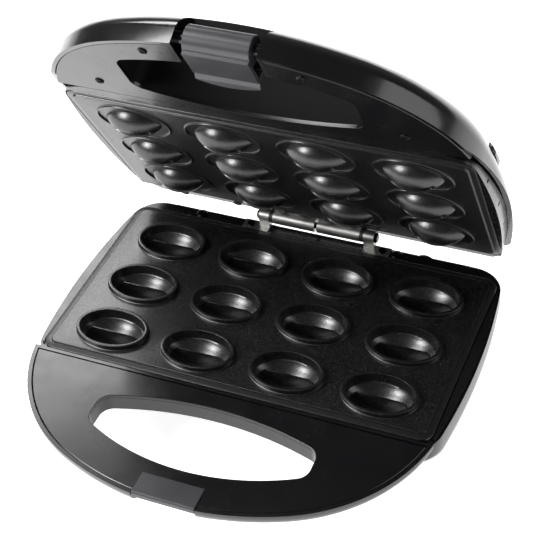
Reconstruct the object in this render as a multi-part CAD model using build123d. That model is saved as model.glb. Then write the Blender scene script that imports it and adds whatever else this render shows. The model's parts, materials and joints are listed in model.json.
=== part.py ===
"""Electric nut cookie maker: a hinged iron with twelve nut moulds, modelled in the half open position.

Millimetres, +X to the right, +Y to the back, +Z up. While the pieces are made, y = 0 is the middle of
the lower plate and z = 0 is its rim plane. Lid pieces are made in the closed position and then turned
about the hinge. At the end everything is moved so that the origin is on the floor under the middle.
"""
import math
import os

from build123d import *

# Baking plates
plate_width = 240.0
plate_depth = 135.6
plate_corner = 8.0
flange = 2.5
border = 4.0
border_step = 1.0
upper_step = 1.3
plate_block = 5.0
block_inset = 7.0
columns = 4
rows = 3
pitch_x = 55.6
pitch_y = 41.4
grid_y = -3.3

# One mould: raised ring, straight wall, boat-shaped bowl and the ridge that makes the nut's seam
ring_length = 45.0
ring_width = 32.0
ring_height = 3.0
ring_wall = 2.2
wall_draft = 0.8
bowl_rim_z = -1.5
bowl_length = 38.0
bowl_width = 25.0
bowl_depth = 7.2
bowl_wall = 2.2
ridge_length = 32.0
ridge_top_z = 0.3
ridge_crest = 0.7
ridge_foot = 3.6

# One punch of the lid's plate, inside its thin raised oval
bead_length = 46.0
bead_width = 37.0
bead_height = 1.0
bead_wall = 1.2
punch_length = 35.0
punch_width = 22.0
punch_height = 9.0
groove_width = 4.4
groove_crown = 3.0
groove_clearance = 0.6

# How the halves meet
closed_gap = 7.0
lid_forward = 2.0
lid_angle = 60.33
middle_shift = 27.65
hinge_y = 76.4
hinge_z = 5.8

# Outline of both shells: bowed sides and a D-shaped handle
half_width = 127.4
side_radius = 430.0
side_middle_y = -4.0
front_y = -153.5
nose_radius = 165.0
shoulder_radius = 97.0
rear_y = 77.5
corner_radius = 13.0
lid_front_y = -157.0
wall = 2.4
panel_gap = 0.3
panel_thickness = 2.2
panel_chamfer = 0.5

# Windows behind the handle bars
window_half = 66.0
window_back_y = -82.6
window_back_radius = 195.0
window_corner = 8.5
base_window_front = -129.4
base_window_radius = 125.0
lid_window_front = -137.6
lid_window_radius = 156.0

# Base
rim_height = 40.0
foot_height = 4.0
foot_radius = 9.0
foot_x = 78.0
foot_front_y = -30.0
foot_back_y = 36.0
foot_screw_radius = 1.6
foot_screw_head = 3.4
handle_depth = 10.5
handle_round = 10.0
panel_top = 0.6
panel_back_y = -71.4
tub_front_y = -76.0
tub_straight_z = -12.0
tub_waist_z = -27.0
tub_waist_inset = 6.0
tub_waist_front = 14.0
tub_floor_inset = 22.0
tub_floor_front = 26.0
tub_corner = 20.0
ledge = 2.5
rim_lip = 1.4
rim_rise = 1.5
rail_half = 104.0
rail_depth = 9.4
rail_top = -2.3
rail_notch_half = 29.0
rail_notch_depth = 4.0

# Keeper on the base's handle
keeper_half = 18.5
keeper_back_y = -137.5
keeper_front_y = -152.3
keeper_rise = 0.8
keeper_lip_z = -2.4
keeper_recess_y = -143.0
keeper_round = 1.4
keeper_gap = 0.2

# Lid shell
cover_extra = 1.2
cover_rear_y = 84.0
cover_front_y = -79.0
cover_low_z = 18.9
cover_spring_z = 15.8
cover_top_z = 45.4
crown_inset = 62.0
crown_setback = 47.0
crown_power = 1.85
crown_steps = 8
sweep_start_y = -94.0
sweep_middle_y = -48.0
sweep_middle_z = 13.6
sweep_end_y = 12.0
lid_panel_back_y = -78.2
housing_inset = 2.6
housing_front_y = -77.9
housing_rear_y = 83.0
housing_bottom = 7.2
housing_rear_z = 12.0
housing_web_z = 21.6
web_inset = 8.5
vent_places = [(-43.5, 10.9), (-9.0, 12.0), (22.7, 12.8)]
vent_radius = 1.3
inlay_inset = 46.0
inlay_thickness = 1.4
inlay_corner = 24.0

# Latch and its notch in the lid's handle bar
latch_half = 18.0
latch_y = -149.0
latch_z = 14.3
latch_drum = 7.6
latch_tip_y = -122.5
latch_reach = 9.3
latch_thickness = 2.5
latch_hook = 5.0
latch_hook_thickness = 2.1
latch_hook_reach = 17.2
latch_groove_reach = 19.8
latch_groove = 1.8
latch_groove_depth = 0.9
latch_tab_flare = 1.5
latch_tip_radius = 60.0
latch_pin_radius = 1.5
latch_boss_radius = 3.4
recess_half = 23.0
recess_back_y = -140.6
bridge_z = 8.9

# Hinge
knuckle_radius = 4.3
knuckle_length = 28.1
knuckle_split = 1.8
outer_knuckle_radius = 4.0
outer_knuckle_length = 6.9
washer_thickness = 2.5
washer_gap = 0.1
hinge_pin_radius = 2.0
hinge_pin_head = 3.2
hinge_pin_head_length = 1.8
running_clearance = 0.05
leaf_thickness = 1.2
leaf_front_y = 66.6
foot_leaf_end = 49.0
bracket_screw_radius = 1.3
bracket_screw_head = 2.3
lid_bracket_screw_y = 69.2
lid_bracket_screw_xs = (-23.0, -8.0, 8.0, 23.0)
base_bracket_screw_x = 44.0

# Heating and electrical parts
heater_radius = 3.2
heater_end_x = 98.0
heater_bend_x = -86.0
terminal_radius = 1.5
terminal_length = 7.0
clamp_width = 8.0
clamp_thickness = 1.2
clamp_overhang = 5.5
stud_radius = 2.5
stud_depth = 2.5
assembly_gap = 0.05
reflector_gap = 0.4
reflector_thickness = 0.6
reflector_half_x = 100.0
reflector_half_y = 48.0
reflector_corner = 8.0
boss_radius = 4.5
plate_screw_radius = 1.8
plate_screw_head = 3.5
plate_screw_head_height = 2.4
plate_screw_bite = 2.5
gland_x = 70.0
gland_z = -9.3
gland_radius = 5.2
gland_bore = 3.6
gland_flange = 7.0
gland_flange_thickness = 1.6
thermostat_radius = 8.0
thermostat_height = 6.5
fuse_radius = 2.2
fuse_length = 16.0
fuse_y = -46.0
block_length = 24.0
block_width = 11.0
block_height = 9.0
block_x = 80.0
block_y = 14.0
lamp_y = -44.0
lamp_x = 107.0
lamp_spacing = 9.0
lamp_radius = 2.5
lamp_length = 7.0
lens_x = 121.5
lens_y = -40.0
lens_length = 20.0
lens_width = 5.0
lens_rise = 1.4

# Small fasteners
dome_head = 3.7
dome_rise = 1.8
dome_shank = 1.6
dome_grip = 6.0
lid_screw_head = 2.6
lid_screw_places = [(-87.0, -92.5), (-43.0, -142.0), (43.0, -142.0), (87.0, -92.5)]
rail_screw_places = [(-79.0, 73.6), (53.0, 73.6)]
stop_places = [(-91.0, 72.0), (-54.0, 72.0)]
stop_radius = 2.6
stop_length = 2.4

# Sizes that follow from the ones above
lid_plate_z = closed_gap
lid_plate_y = -lid_forward
lid_inner_z = lid_plate_z - upper_step
ring_top = border_step + ring_height
floor_z = -rim_height
tub_floor_z = floor_z + foot_height
rim = -flange
grid = [
    (pitch_x * (i - (columns - 1) / 2), grid_y + pitch_y * (j - (rows - 1) / 2))
    for j in range(rows)
    for i in range(columns)
]
plate_screw_places = [(sx * pitch_x, grid_y + sy * pitch_y) for sx in (-1, 1) for sy in (-1, 1)]
clamp_xs = (-pitch_x, pitch_x)
heater_rows = (grid_y - pitch_y / 2, grid_y + pitch_y / 2)
foot_places = [(sx * foot_x, y) for sx in (-1, 1) for y in (foot_front_y, foot_back_y)]
knuckle_inner = knuckle_split / 2
knuckle_outer = knuckle_inner + knuckle_length
washer_end = knuckle_outer + washer_thickness
base_knuckle_end = washer_end + outer_knuckle_length
lid_back_z = lid_plate_z + plate_block


def prism(face, low, high):
    """A flat face at z = 0 drawn out from one height to another."""
    return extrude(Pos(0, 0, low) * face, amount=high - low)


def block(x0, x1, y0, y1, z0, z1):
    """A box between two corners."""
    return Pos((x0 + x1) / 2, (y0 + y1) / 2, (z0 + z1) / 2) * Box(x1 - x0, y1 - y0, z1 - z0)


def disc(x, y, z0, z1, radius):
    """An upright cylinder between two heights."""
    return Pos(x, y, (z0 + z1) / 2) * Cylinder(radius, z1 - z0)


def bar(x0, x1, y, z, radius):
    """A cylinder along X."""
    return Pos((x0 + x1) / 2, y, z) * Rot(0, 90, 0) * Cylinder(radius, x1 - x0)


def round_between(centre, radius, start, end):
    """The shorter arc about a centre from one point to another."""
    middle = ((start - centre).normalized() + (end - centre).normalized()).normalized()
    return ThreePointArc(start, centre + middle * radius, end)


def shoulder_centre(front=front_y):
    """Centre of the arc that touches the nose arc and the side arc from inside."""
    nose = Vector(0, front + nose_radius)
    side = Vector(half_width - side_radius, side_middle_y)
    near = nose_radius - shoulder_radius
    far = side_radius - shoulder_radius
    along = (side - nose).normalized()
    reach = (side - nose).length
    step = (near**2 - far**2 + reach**2) / (2 * reach)
    across = Vector(-along.Y, along.X)
    return nose + along * step + across * math.sqrt(near**2 - step**2)


def outline(inset=0.0, rear=rear_y, corner=corner_radius, front=front_y):
    """The shell's whole outline, handle and body, drawn inwards by the inset."""
    nose = Vector(0, front + nose_radius)
    side = Vector(half_width - side_radius, side_middle_y)
    shoulder = shoulder_centre(front)
    low = (shoulder - nose).normalized()
    high = (shoulder - side).normalized()
    tip = Vector(0, front + inset)
    first = shoulder + low * (shoulder_radius - inset)
    second = shoulder + high * (shoulder_radius - inset)
    back = rear - inset
    back_x = side.X + math.sqrt((side_radius - inset) ** 2 - (back - side_middle_y) ** 2)
    last = Vector(back_x, back)
    half = [
        round_between(nose, nose_radius - inset, tip, first),
        round_between(shoulder, shoulder_radius - inset, first, second),
        round_between(side, side_radius - inset, second, last),
        Line(last, Vector(0, back)),
    ]
    right = Wire(half)
    left = mirror(right, about=Plane.YZ)
    face = make_face([*right.edges(), *left.edges()])
    corners = face.vertices().filter_by(lambda v: v.Y > back - 0.01 and abs(v.X) > 1)
    return fillet(corners, max(corner - inset, 1.0))


def tub_section(inset, front_inset, corner=tub_corner, rear=rear_y, front=tub_front_y):
    """The body's outline without the handle: bowed sides, straight front and back."""
    side = Vector(half_width - side_radius, side_middle_y)
    radius = side_radius - inset
    low = front + front_inset
    high = rear - inset
    low_x = side.X + math.sqrt(radius**2 - (low - side_middle_y) ** 2)
    high_x = side.X + math.sqrt(radius**2 - (high - side_middle_y) ** 2)
    right = round_between(side, radius, Vector(low_x, low), Vector(high_x, high))
    left = mirror(right, about=Plane.YZ)
    front_line = Line((-low_x, low), (low_x, low))
    back_line = Line((-high_x, high), (high_x, high))
    face = make_face([front_line, right, back_line, left])
    return fillet(face.vertices(), max(corner - inset / 3, 2.0))


def window(front, front_radius, outset=0.0):
    """The opening behind a handle bar: two shallow arcs and short rounded ends."""
    half = window_half + outset
    back = window_back_y + outset
    low = front - outset
    back_end = back - half**2 / (2 * window_back_radius)
    front_end = low + half**2 / (2 * front_radius)
    face = make_face([
        ThreePointArc((-half, back_end), (0, back), (half, back_end)),
        Line((half, back_end), (half, front_end)),
        ThreePointArc((half, front_end), (0, low), (-half, front_end)),
        Line((-half, front_end), (-half, back_end)),
    ])
    return fillet(face.vertices(), window_corner + outset)


def base_window(outset=0.0):
    """The opening behind the lower handle bar."""
    return window(base_window_front, base_window_radius, outset)


def lid_window(outset=0.0):
    """The opening behind the upper handle bar."""
    return window(lid_window_front, lid_window_radius, outset)


def in_front_of(y):
    """A block that keeps only what lies in front of a line across the object."""
    reach = 2 * half_width
    return block(-reach, reach, 2 * front_y, y, -reach, reach)


def boat(length, width, depth):
    """The lower half of a boat: round belly, ends that run to a point; its rim is at z = 0."""
    half = length / 2
    radius = ((width / 2) ** 2 + depth**2) / (2 * depth)
    rise = radius - depth
    belly = ThreePointArc((-half, rise), (0, radius), (half, rise))
    profile = make_face([belly, Line((half, rise), (half, 0)), Line((half, 0), (-half, 0)), Line((-half, 0), (-half, rise))])
    spindle = Pos(0, 0, rise) * revolve(profile, axis=Axis.X)
    leaf = make_face([
        ThreePointArc((-half, 0), (0, width / 2 + 0.2), (half, 0)),
        ThreePointArc((half, 0), (0, -width / 2 - 0.2), (-half, 0)),
    ])
    return spindle & prism(leaf, -2 * depth, 0)


def ridge():
    """The blade along a mould that leaves the seam of the nut; lower at both ends."""
    foot = bowl_rim_z - bowl_depth - bowl_wall / 2
    half = ridge_length / 2
    slope = (ridge_top_z - foot) / 4
    section = make_face(Polyline(
        (-ridge_foot / 2, foot), (ridge_foot / 2, foot),
        (ridge_crest / 2, ridge_top_z), (-ridge_crest / 2, ridge_top_z), close=True))
    side = make_face(Polyline(
        (-half, foot), (half, foot), (half, ridge_top_z - slope), (half - slope, ridge_top_z),
        (slope - half, ridge_top_z), (-half, ridge_top_z - slope), close=True))
    long = extrude(Plane.YZ * section, amount=ridge_length, both=True)
    short = extrude(Plane.XZ * side, amount=ridge_foot, both=True)
    return long & short


def mould():
    """One mould of the lower plate: ring, wall, bowl and ridge in one."""
    mouth_x = ring_length / 2 - ring_wall
    mouth_y = ring_width / 2 - ring_wall
    tube = prism(Ellipse(ring_length / 2, ring_width / 2), -plate_block, ring_top)
    belly = Pos(0, 0, bowl_rim_z) * boat(bowl_length + 2 * bowl_wall, bowl_width + 2 * bowl_wall, bowl_depth + bowl_wall)
    low = Ellipse(mouth_x - wall_draft, mouth_y - wall_draft)
    mouth = loft([Pos(0, 0, bowl_rim_z) * low, Pos(0, 0, ring_top) * Ellipse(mouth_x, mouth_y)])
    hollow = Pos(0, 0, bowl_rim_z + 0.1) * boat(bowl_length, bowl_width, bowl_depth)
    return tube + belly - mouth - hollow + ridge()


def lower_plate():
    """Coated plate with twelve raised rings, bowls and ridges."""
    plate = prism(RectangleRounded(plate_width, plate_depth, plate_corner), -flange, 0)
    inner = RectangleRounded(plate_width - 2 * border, plate_depth - 2 * border, plate_corner - 2)
    thick = RectangleRounded(plate_width - 2 * block_inset, plate_depth - 2 * block_inset, plate_corner - 2)
    plate += prism(inner, -flange, border_step) + prism(thick, -plate_block, 0)
    hole = prism(Ellipse((ring_length - ring_wall) / 2, (ring_width - ring_wall) / 2), -2 * plate_block, 2 * ring_top)
    plate -= [Pos(x, y, 0) * hole for x, y in grid]
    one = mould()
    plate += [Pos(x, y, 0) * one for x, y in grid]
    sockets = [disc(x, y, -plate_block - 1, plate_screw_bite - plate_block, plate_screw_radius) for x, y in plate_screw_places]
    studs = [disc(x, grid_y, -plate_block - 1, stud_depth - plate_block, stud_radius) for x in clamp_xs]
    return plate - sockets - studs


def punch():
    """One punch of the upper plate with the groove that clears the ridge."""
    low = lid_inner_z - punch_height
    top = ridge_top_z + groove_clearance
    groove = make_face(Polyline(
        (-groove_width / 2, low - 1), (groove_width / 2, low - 1),
        (groove_crown / 2, top), (-groove_crown / 2, top), close=True))
    body = Pos(0, 0, lid_inner_z) * boat(punch_length, punch_width, punch_height)
    body += prism(Ellipse(punch_length / 3, punch_width / 3), lid_inner_z - 0.5, lid_inner_z + 0.5)
    oval = Ellipse(bead_length / 2, bead_width / 2) - Ellipse(bead_length / 2 - bead_wall, bead_width / 2 - bead_wall)
    bead = prism(oval, lid_inner_z - bead_height, lid_inner_z + 0.2)
    return body - extrude(Plane.YZ * groove, amount=punch_length, both=True), bead


def upper_plate():
    """Coated plate with twelve punches, each inside a thin raised oval."""
    at = Pos(0, lid_plate_y, 0)
    plate = prism(at * RectangleRounded(plate_width, plate_depth, plate_corner), lid_plate_z, lid_plate_z + flange)
    inner = RectangleRounded(plate_width - 2 * border, plate_depth - 2 * border, plate_corner - 2)
    thick = RectangleRounded(plate_width - 2 * block_inset, plate_depth - 2 * block_inset, plate_corner - 2)
    plate += prism(at * inner, lid_inner_z, lid_plate_z + flange) + prism(at * thick, lid_plate_z, lid_back_z)
    body, bead = punch()
    plate += [Pos(x, y, 0) * body for x, y in grid] + [Pos(x, y, 0) * bead for x, y in grid]
    sockets = [disc(x, y, lid_back_z - plate_screw_bite, lid_back_z + 1, plate_screw_radius) for x, y in plate_screw_places]
    studs = [disc(x, grid_y, lid_back_z - stud_depth, lid_back_z + 1, stud_radius) for x in clamp_xs]
    return plate - sockets - studs


def tub(shrink, top):
    """The bowl under the plate: straight at the top, then drawn in towards the floor."""
    levels = [
        (tub_straight_z, 0.0, 0.0),
        (tub_waist_z, tub_waist_inset, tub_waist_front),
        (tub_floor_z + shrink, tub_floor_inset, tub_floor_front),
    ]
    solid = prism(tub_section(shrink, shrink), tub_straight_z, top)
    return solid + loft([Pos(0, 0, z) * tub_section(i + shrink, f + shrink) for z, i, f in levels])


def handle_slab(shrink, top):
    """Form of the lower handle, turned under along its outer edge."""
    low = shrink - handle_depth
    slab = prism(outline(shrink), low, top) & in_front_of(-plate_depth / 2 - 1.2)
    turned = slab.edges().filter_by_position(Axis.Z, low, low)
    return fillet(turned.filter_by(lambda e: e.center().Y < -plate_depth / 2 - 2), handle_round - shrink)


def keeper_block():
    """Solid part of the handle that carries the keeper."""
    half = keeper_half + keeper_gap + wall
    return block(-half, half, 2 * front_y, keeper_back_y + keeper_gap + wall, -rim_height, panel_top - panel_thickness)


def base_housing():
    """Lower shell: bowl under the plate, hollow handle frame, ledge for the plate and rear rail."""
    opening = RectangleRounded(plate_width - 2 * block_inset + 1, plate_depth - 2 * block_inset + 1, plate_corner - 2)
    around_plate = RectangleRounded(plate_width + 1, plate_depth + 1, plate_corner)
    room = tub(wall, rim - ledge)
    shell = tub(0, rim) + handle_slab(0, panel_top) - room - prism(opening, rim - ledge - 1, 1) - prism(around_plate, rim, 2)
    channel = handle_slab(wall, panel_top + 1) & in_front_of(panel_back_y + panel_gap)
    channel -= prism(base_window(wall), -handle_depth, panel_top - panel_thickness)
    channel -= prism(tub_section(0, 0), -handle_depth, panel_top - panel_thickness)
    channel -= keeper_block()
    shell -= channel
    shell -= prism(base_window(), floor_z, panel_top + 1)
    sides = block(-half_width, half_width, 4 - plate_depth / 2, plate_depth / 2 - 10, rim - 0.5, rim + rim_rise)
    lip = (prism(tub_section(rim_lip, 0), rim - 0.5, rim + rim_rise) & sides) - prism(around_plate, rim - 1, 2)
    shell += lip
    rail = block(-rail_half, rail_half, rear_y - rail_depth, rear_y, tub_straight_z, rail_top)
    rail = chamfer(rail.edges().filter_by(Axis.Z).group_by(Axis.Y)[-1], 5.0)
    notch = block(-rail_notch_half, rail_notch_half, rear_y - rail_depth - 1, rear_y + 1, rail_top - rail_notch_depth, 1)
    notch = chamfer(notch.edges().filter_by(Axis.Y).group_by(Axis.Z)[0], rail_notch_depth - 0.5)
    shell += rail - notch
    bosses = [disc(x, y, tub_floor_z + 1, -plate_block, boss_radius) for x, y in plate_screw_places]
    bosses += [disc(x, y, tub_floor_z + 1, tub_floor_z + 8, boss_radius) for x, y in foot_places]
    shell += bosses
    holes = [disc(x, y, tub_floor_z - 1, 0, plate_screw_radius + 0.2) for x, y in plate_screw_places]
    holes += [disc(x, y, tub_floor_z - 1, tub_floor_z + 4, plate_screw_head + 0.3) for x, y in plate_screw_places]
    holes += [disc(x, y, tub_floor_z - 1, tub_floor_z + 7, foot_screw_radius) for x, y in foot_places]
    holes += [disc(x, y, rail_top - dome_grip, rail_top + 1, dome_shank) for x, y in rail_screw_places]
    holes += [disc(sx * base_bracket_screw_x, rear_y - rail_depth / 2, rail_top - 5, 1, bracket_screw_radius) for sx in (-1, 1)]
    holes.append(Pos(gland_x, rear_y, gland_z) * Rot(90, 0, 0) * Cylinder(gland_radius, 4 * rail_depth))
    return shell - holes - keeper_seat()


def keeper_seat():
    """The notch in the handle's front that takes the keeper and lets the latch pass."""
    half = keeper_half + keeper_gap
    low = panel_top - panel_thickness
    pad = block(-half, half, keeper_front_y - 5, keeper_back_y + keeper_gap, low, panel_top + 2)
    front = block(-half, half, keeper_front_y - 5, keeper_recess_y, -rim_height, panel_top)
    return pad + front


def latch_keeper():
    """Catch let into the front of the lower handle: a pad whose front edge stands out as a ledge."""
    low = panel_top - panel_thickness
    top = panel_top + keeper_rise
    pad = block(-keeper_half, keeper_half, keeper_front_y, keeper_back_y, low, top)
    pad = fillet(pad.edges().filter_by(Axis.X).group_by(Axis.Z)[-1].sort_by(Axis.Y)[0], keeper_round)
    lip = block(-keeper_half, keeper_half, keeper_front_y, keeper_recess_y - keeper_gap, keeper_lip_z, low)
    return pad + lip


def behind(y):
    """A flat half plane behind a line across the object."""
    reach = 4 * half_width
    return Pos(0, y + reach / 2) * Rectangle(reach, reach)


def base_handle_panel():
    """Satin panel on top of the lower handle."""
    face = outline(wall + panel_gap) - behind(panel_back_y) - base_window()
    panel = prism(face, panel_top - panel_thickness, panel_top)
    edge = panel.faces().sort_by(Axis.Z)[-1].outer_wire().edges()
    panel = chamfer(edge, panel_chamfer)
    half = keeper_half + keeper_gap
    return panel - block(-half, half, keeper_front_y - 5, keeper_back_y + keeper_gap, -5, 5)


def rubber_feet():
    """Four rubber feet under the corners."""
    feet = []
    for x, y in foot_places:
        foot = disc(x, y, floor_z, tub_floor_z, foot_radius)
        foot = chamfer(foot.edges().sort_by(Axis.Z)[0], 1.0)
        foot -= disc(x, y, floor_z - 1, floor_z + foot_height / 2, foot_screw_head + 0.4)
        feet.append(foot - disc(x, y, floor_z - 1, 0, foot_screw_radius + assembly_gap))
    return feet


def foot_screws():
    """One screw through the middle of each foot."""
    head = floor_z + foot_height / 2
    return [
        disc(x, y, head - 1.5, head, foot_screw_head) + disc(x, y, head, tub_floor_z + 6, foot_screw_radius - assembly_gap)
        for x, y in foot_places
    ]


def lower_plate_screws():
    """Four screws that pull the lower plate onto the shell's bosses."""
    seat = tub_floor_z + 4
    tip = plate_screw_bite - plate_block
    return [
        disc(x, y, seat - plate_screw_head_height, seat, plate_screw_head) + disc(x, y, seat, tip, plate_screw_radius)
        for x, y in plate_screw_places
    ]


def upper_plate_screws():
    """Four screws that hold the upper plate to the web of the lid's frame."""
    seat = housing_web_z + wall
    tip = lid_back_z - plate_screw_bite
    return [
        disc(x, y, seat, seat + plate_screw_head_height, plate_screw_head) + disc(x, y, tip, seat, plate_screw_radius)
        for x, y in plate_screw_places
    ]


def heater(z):
    """U-shaped tubular heater with a terminal pin at each end."""
    low, high = heater_rows
    radius = (high - low) / 2
    path = Wire([
        Line((heater_end_x, low, z), (heater_bend_x, low, z)),
        ThreePointArc((heater_bend_x, low, z), (heater_bend_x - radius, (low + high) / 2, z), (heater_bend_x, high, z)),
        Line((heater_bend_x, high, z), (heater_end_x, high, z)),
    ])
    tube = sweep(Plane(origin=(heater_end_x, low, z), z_dir=(-1, 0, 0)) * Circle(heater_radius), path=path)
    pins = [bar(heater_end_x - 1, heater_end_x + terminal_length, y, z, terminal_radius) for y in heater_rows]
    return tube + pins


def heater_clamps(back, way):
    """Two straps that press the heater against a plate's back, each with a stud into the plate."""
    near = back + way * (2 * heater_radius + assembly_gap)
    far = near + way * clamp_thickness
    low, high = heater_rows
    tip = back - way * (stud_depth - assembly_gap)
    return [
        block(x - clamp_width / 2, x + clamp_width / 2, low - clamp_overhang, high + clamp_overhang, min(near, far), max(near, far))
        + disc(x, grid_y, min(tip, far), max(tip, far), stud_radius)
        for x in clamp_xs
    ]


def reflector(back, way):
    """Thin bright sheet behind the heater, with holes for the bosses."""
    near = back + way * (2 * heater_radius + assembly_gap + clamp_thickness + reflector_gap)
    far = near + way * reflector_thickness
    face = Pos(0, grid_y) * RectangleRounded(2 * reflector_half_x, 2 * reflector_half_y, reflector_corner)
    sheet = prism(face, min(near, far), max(near, far))
    return sheet - [disc(x, y, min(near, far) - 1, max(near, far) + 1, boss_radius + 0.4) for x, y in plate_screw_places]


def hinge_bracket_lower():
    """Steel brackets on the rail, each with a short knuckle beside the barrel."""
    seat = rail_top + assembly_gap / 2
    sides = []
    for side in (-1, 1):
        x0, x1 = sorted((side * washer_end, side * base_knuckle_end))
        f0, f1 = sorted((side * washer_end, side * foot_leaf_end))
        part = bar(x0, x1, hinge_y, hinge_z, outer_knuckle_radius)
        part += block(x0, x1, hinge_y - 3.0, hinge_y + 1.0, seat, hinge_z)
        part += block(f0, f1, rear_y - rail_depth + 0.3, rear_y - 0.3, seat, rail_top + leaf_thickness)
        part -= bar(x0 - 1, x1 + 1, hinge_y, hinge_z, hinge_pin_radius)
        part -= disc(side * base_bracket_screw_x, rear_y - rail_depth / 2, rail_top - 1, 3, bracket_screw_radius)
        sides.append(part)
    return sides


def hinge_bracket_lower_screws():
    """One pan head screw through each foot of the lower brackets."""
    top = rail_top + leaf_thickness
    y = rear_y - rail_depth / 2
    return [
        disc(x, y, top, top + 1.3, bracket_screw_head) + disc(x, y, rail_top - 5, top, bracket_screw_radius)
        for x in (-base_bracket_screw_x, base_bracket_screw_x)
    ]


def hinge_bracket_upper():
    """Steel leaf of the lid with two long knuckles rolled round the pin."""
    leaf_z = hinge_z + knuckle_radius
    part = block(-knuckle_outer, knuckle_outer, leaf_front_y, hinge_y, leaf_z - leaf_thickness, leaf_z)
    for side in (-1, 1):
        x0, x1 = sorted((side * knuckle_inner, side * knuckle_outer))
        part += bar(x0, x1, hinge_y, hinge_z, knuckle_radius)
        part -= bar(x0 - 1, x1 + 1, hinge_y, hinge_z, hinge_pin_radius + running_clearance)
    gap = block(-knuckle_inner, knuckle_inner, hinge_y - knuckle_radius - 1, hinge_y + 6, 0, leaf_z + 1)
    holes = [disc(x, lid_bracket_screw_y, 0, leaf_z + 1, bracket_screw_radius) for x in lid_bracket_screw_xs]
    return part - gap - holes


def hinge_bracket_upper_screws():
    """Pan head screws that hold the lid's leaf under its rear shelf."""
    leaf_z = hinge_z + knuckle_radius
    low = leaf_z - leaf_thickness
    return [
        disc(x, lid_bracket_screw_y, low - 1.3, low, bracket_screw_head)
        + disc(x, lid_bracket_screw_y, low, leaf_z + 3, bracket_screw_radius)
        for x in lid_bracket_screw_xs
    ]


def hinge_washers():
    """Black washers between the short and the long knuckles."""
    washers = []
    for side in (-1, 1):
        x0, x1 = sorted((side * (knuckle_outer + washer_gap), side * washer_end))
        ring = bar(x0, x1, hinge_y, hinge_z, knuckle_radius - 0.1)
        washers.append(ring - bar(x0 - 1, x1 + 1, hinge_y, hinge_z, hinge_pin_radius))
    return washers


def hinge_pin():
    """Steel pin through all the knuckles, headed at both ends."""
    pin = bar(-base_knuckle_end, base_knuckle_end, hinge_y, hinge_z, hinge_pin_radius)
    for side in (-1, 1):
        x0, x1 = sorted((side * base_knuckle_end, side * (base_knuckle_end + hinge_pin_head_length)))
        pin += bar(x0, x1, hinge_y, hinge_z, hinge_pin_head)
    ends = pin.edges().filter_by(GeomType.CIRCLE).sort_by(Axis.X)
    return chamfer([ends[0], ends[-1]], 0.8)


def dome(radius, rise):
    """A shallow dome on z = 0."""
    ball = (radius**2 + rise**2) / (2 * rise)
    return (Pos(0, 0, rise - ball) * Sphere(ball)) & disc(0, 0, 0, rise + 1, radius)


def rear_rail_screws():
    """Two domed screws in the rear rail."""
    return [
        Pos(x, y, rail_top) * dome(dome_head, dome_rise) + disc(x, y, rail_top - dome_grip, rail_top, dome_shank)
        for x, y in rail_screw_places
    ]


def terminal_block():
    """Terminal block on the floor of the base, with four wire clamps."""
    low = tub_floor_z + wall
    part = block(block_x - block_length / 2, block_x + block_length / 2, block_y - block_width / 2,
                 block_y + block_width / 2, low, low + block_height)
    step = block_length / 4
    for i in range(4):
        x = block_x + step * (i - 1.5)
        part -= disc(x, block_y, low + block_height / 2, low + block_height + 1, step / 4)
    return part


def thermal_fuse():
    """Thermal fuse in its sleeve against the back of the lower plate."""
    z = -plate_block - fuse_radius
    sleeve = Pos(0, fuse_y, z) * Rot(90, 0, 0) * Cylinder(fuse_radius, fuse_length)
    return sleeve + Pos(0, fuse_y, z) * Rot(90, 0, 0) * Cylinder(fuse_radius / 3, fuse_length + 8)


def cord_gland():
    """Bushing in the rear wall where a cord would enter."""
    def along(y0, y1, radius):
        return Pos(gland_x, (y0 + y1) / 2, gland_z) * Rot(90, 0, 0) * Cylinder(radius, y1 - y0)
    body = along(rear_y - rail_depth - panel_gap, rear_y, gland_radius - assembly_gap)
    body += along(rear_y, rear_y + gland_flange_thickness, gland_flange)
    return body - along(rear_y - 20, rear_y + 5, gland_bore)


def lid_outline(inset, corner=corner_radius):
    """The lid's whole outline; it reaches a little further forward than the base's."""
    return outline(inset - cover_extra, cover_rear_y - cover_extra, corner, lid_front_y)


def crown_level(shrink, step):
    """One level of the lid's crown, drawn in and set back as it rises."""
    rise = step / crown_steps
    drawn = 1 - (1 - rise**crown_power) ** (1 / crown_power)
    inset = drawn * crown_inset + shrink
    front = lid_front_y + drawn * crown_setback
    z = cover_spring_z + rise * (cover_top_z - cover_spring_z) - shrink
    rear = cover_rear_y - cover_extra
    return Pos(0, 0, z) * outline(inset - cover_extra, rear, corner_radius + 1.15 * inset, front)


def lid_body(shrink, low=lid_plate_z):
    """The lid's solid form: straight at the plate, then one smooth crown."""
    spring = cover_spring_z - shrink
    steps = [0, 1.2, 2.4, 3.6, 4.8, 6.0, 7.0, 7.8]
    crown = loft([crown_level(shrink, step) for step in steps])
    return prism(lid_outline(shrink), low, spring) + crown


def latch_notch(extra=0.0):
    """The notch through the lid's handle bar for the latch."""
    half = recess_half + extra
    return block(-half, half, 2 * front_y, recess_back_y + extra, 0, 2 * cover_top_z)


def sweep_cut():
    """What lies under the lid cover's rising lower edge."""
    low = lid_plate_z - 8
    start = lid_plate_z - 0.5
    far = cover_rear_y + 10
    face = make_face([
        ThreePointArc((sweep_start_y, start), (sweep_middle_y, sweep_middle_z), (sweep_end_y, cover_low_z)),
        Line((sweep_end_y, cover_low_z), (far, cover_low_z)),
        Line((far, cover_low_z), (far, low)),
        Line((far, low), (sweep_start_y, low)),
        Line((sweep_start_y, low), (sweep_start_y, start)),
    ])
    return extrude(Plane.YZ * face, amount=2 * half_width, both=True)


def housing_section(inset):
    """Outline of the lid's frame."""
    return tub_section(housing_inset + inset, inset, rear=housing_rear_y + housing_inset, front=housing_front_y)


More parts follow.
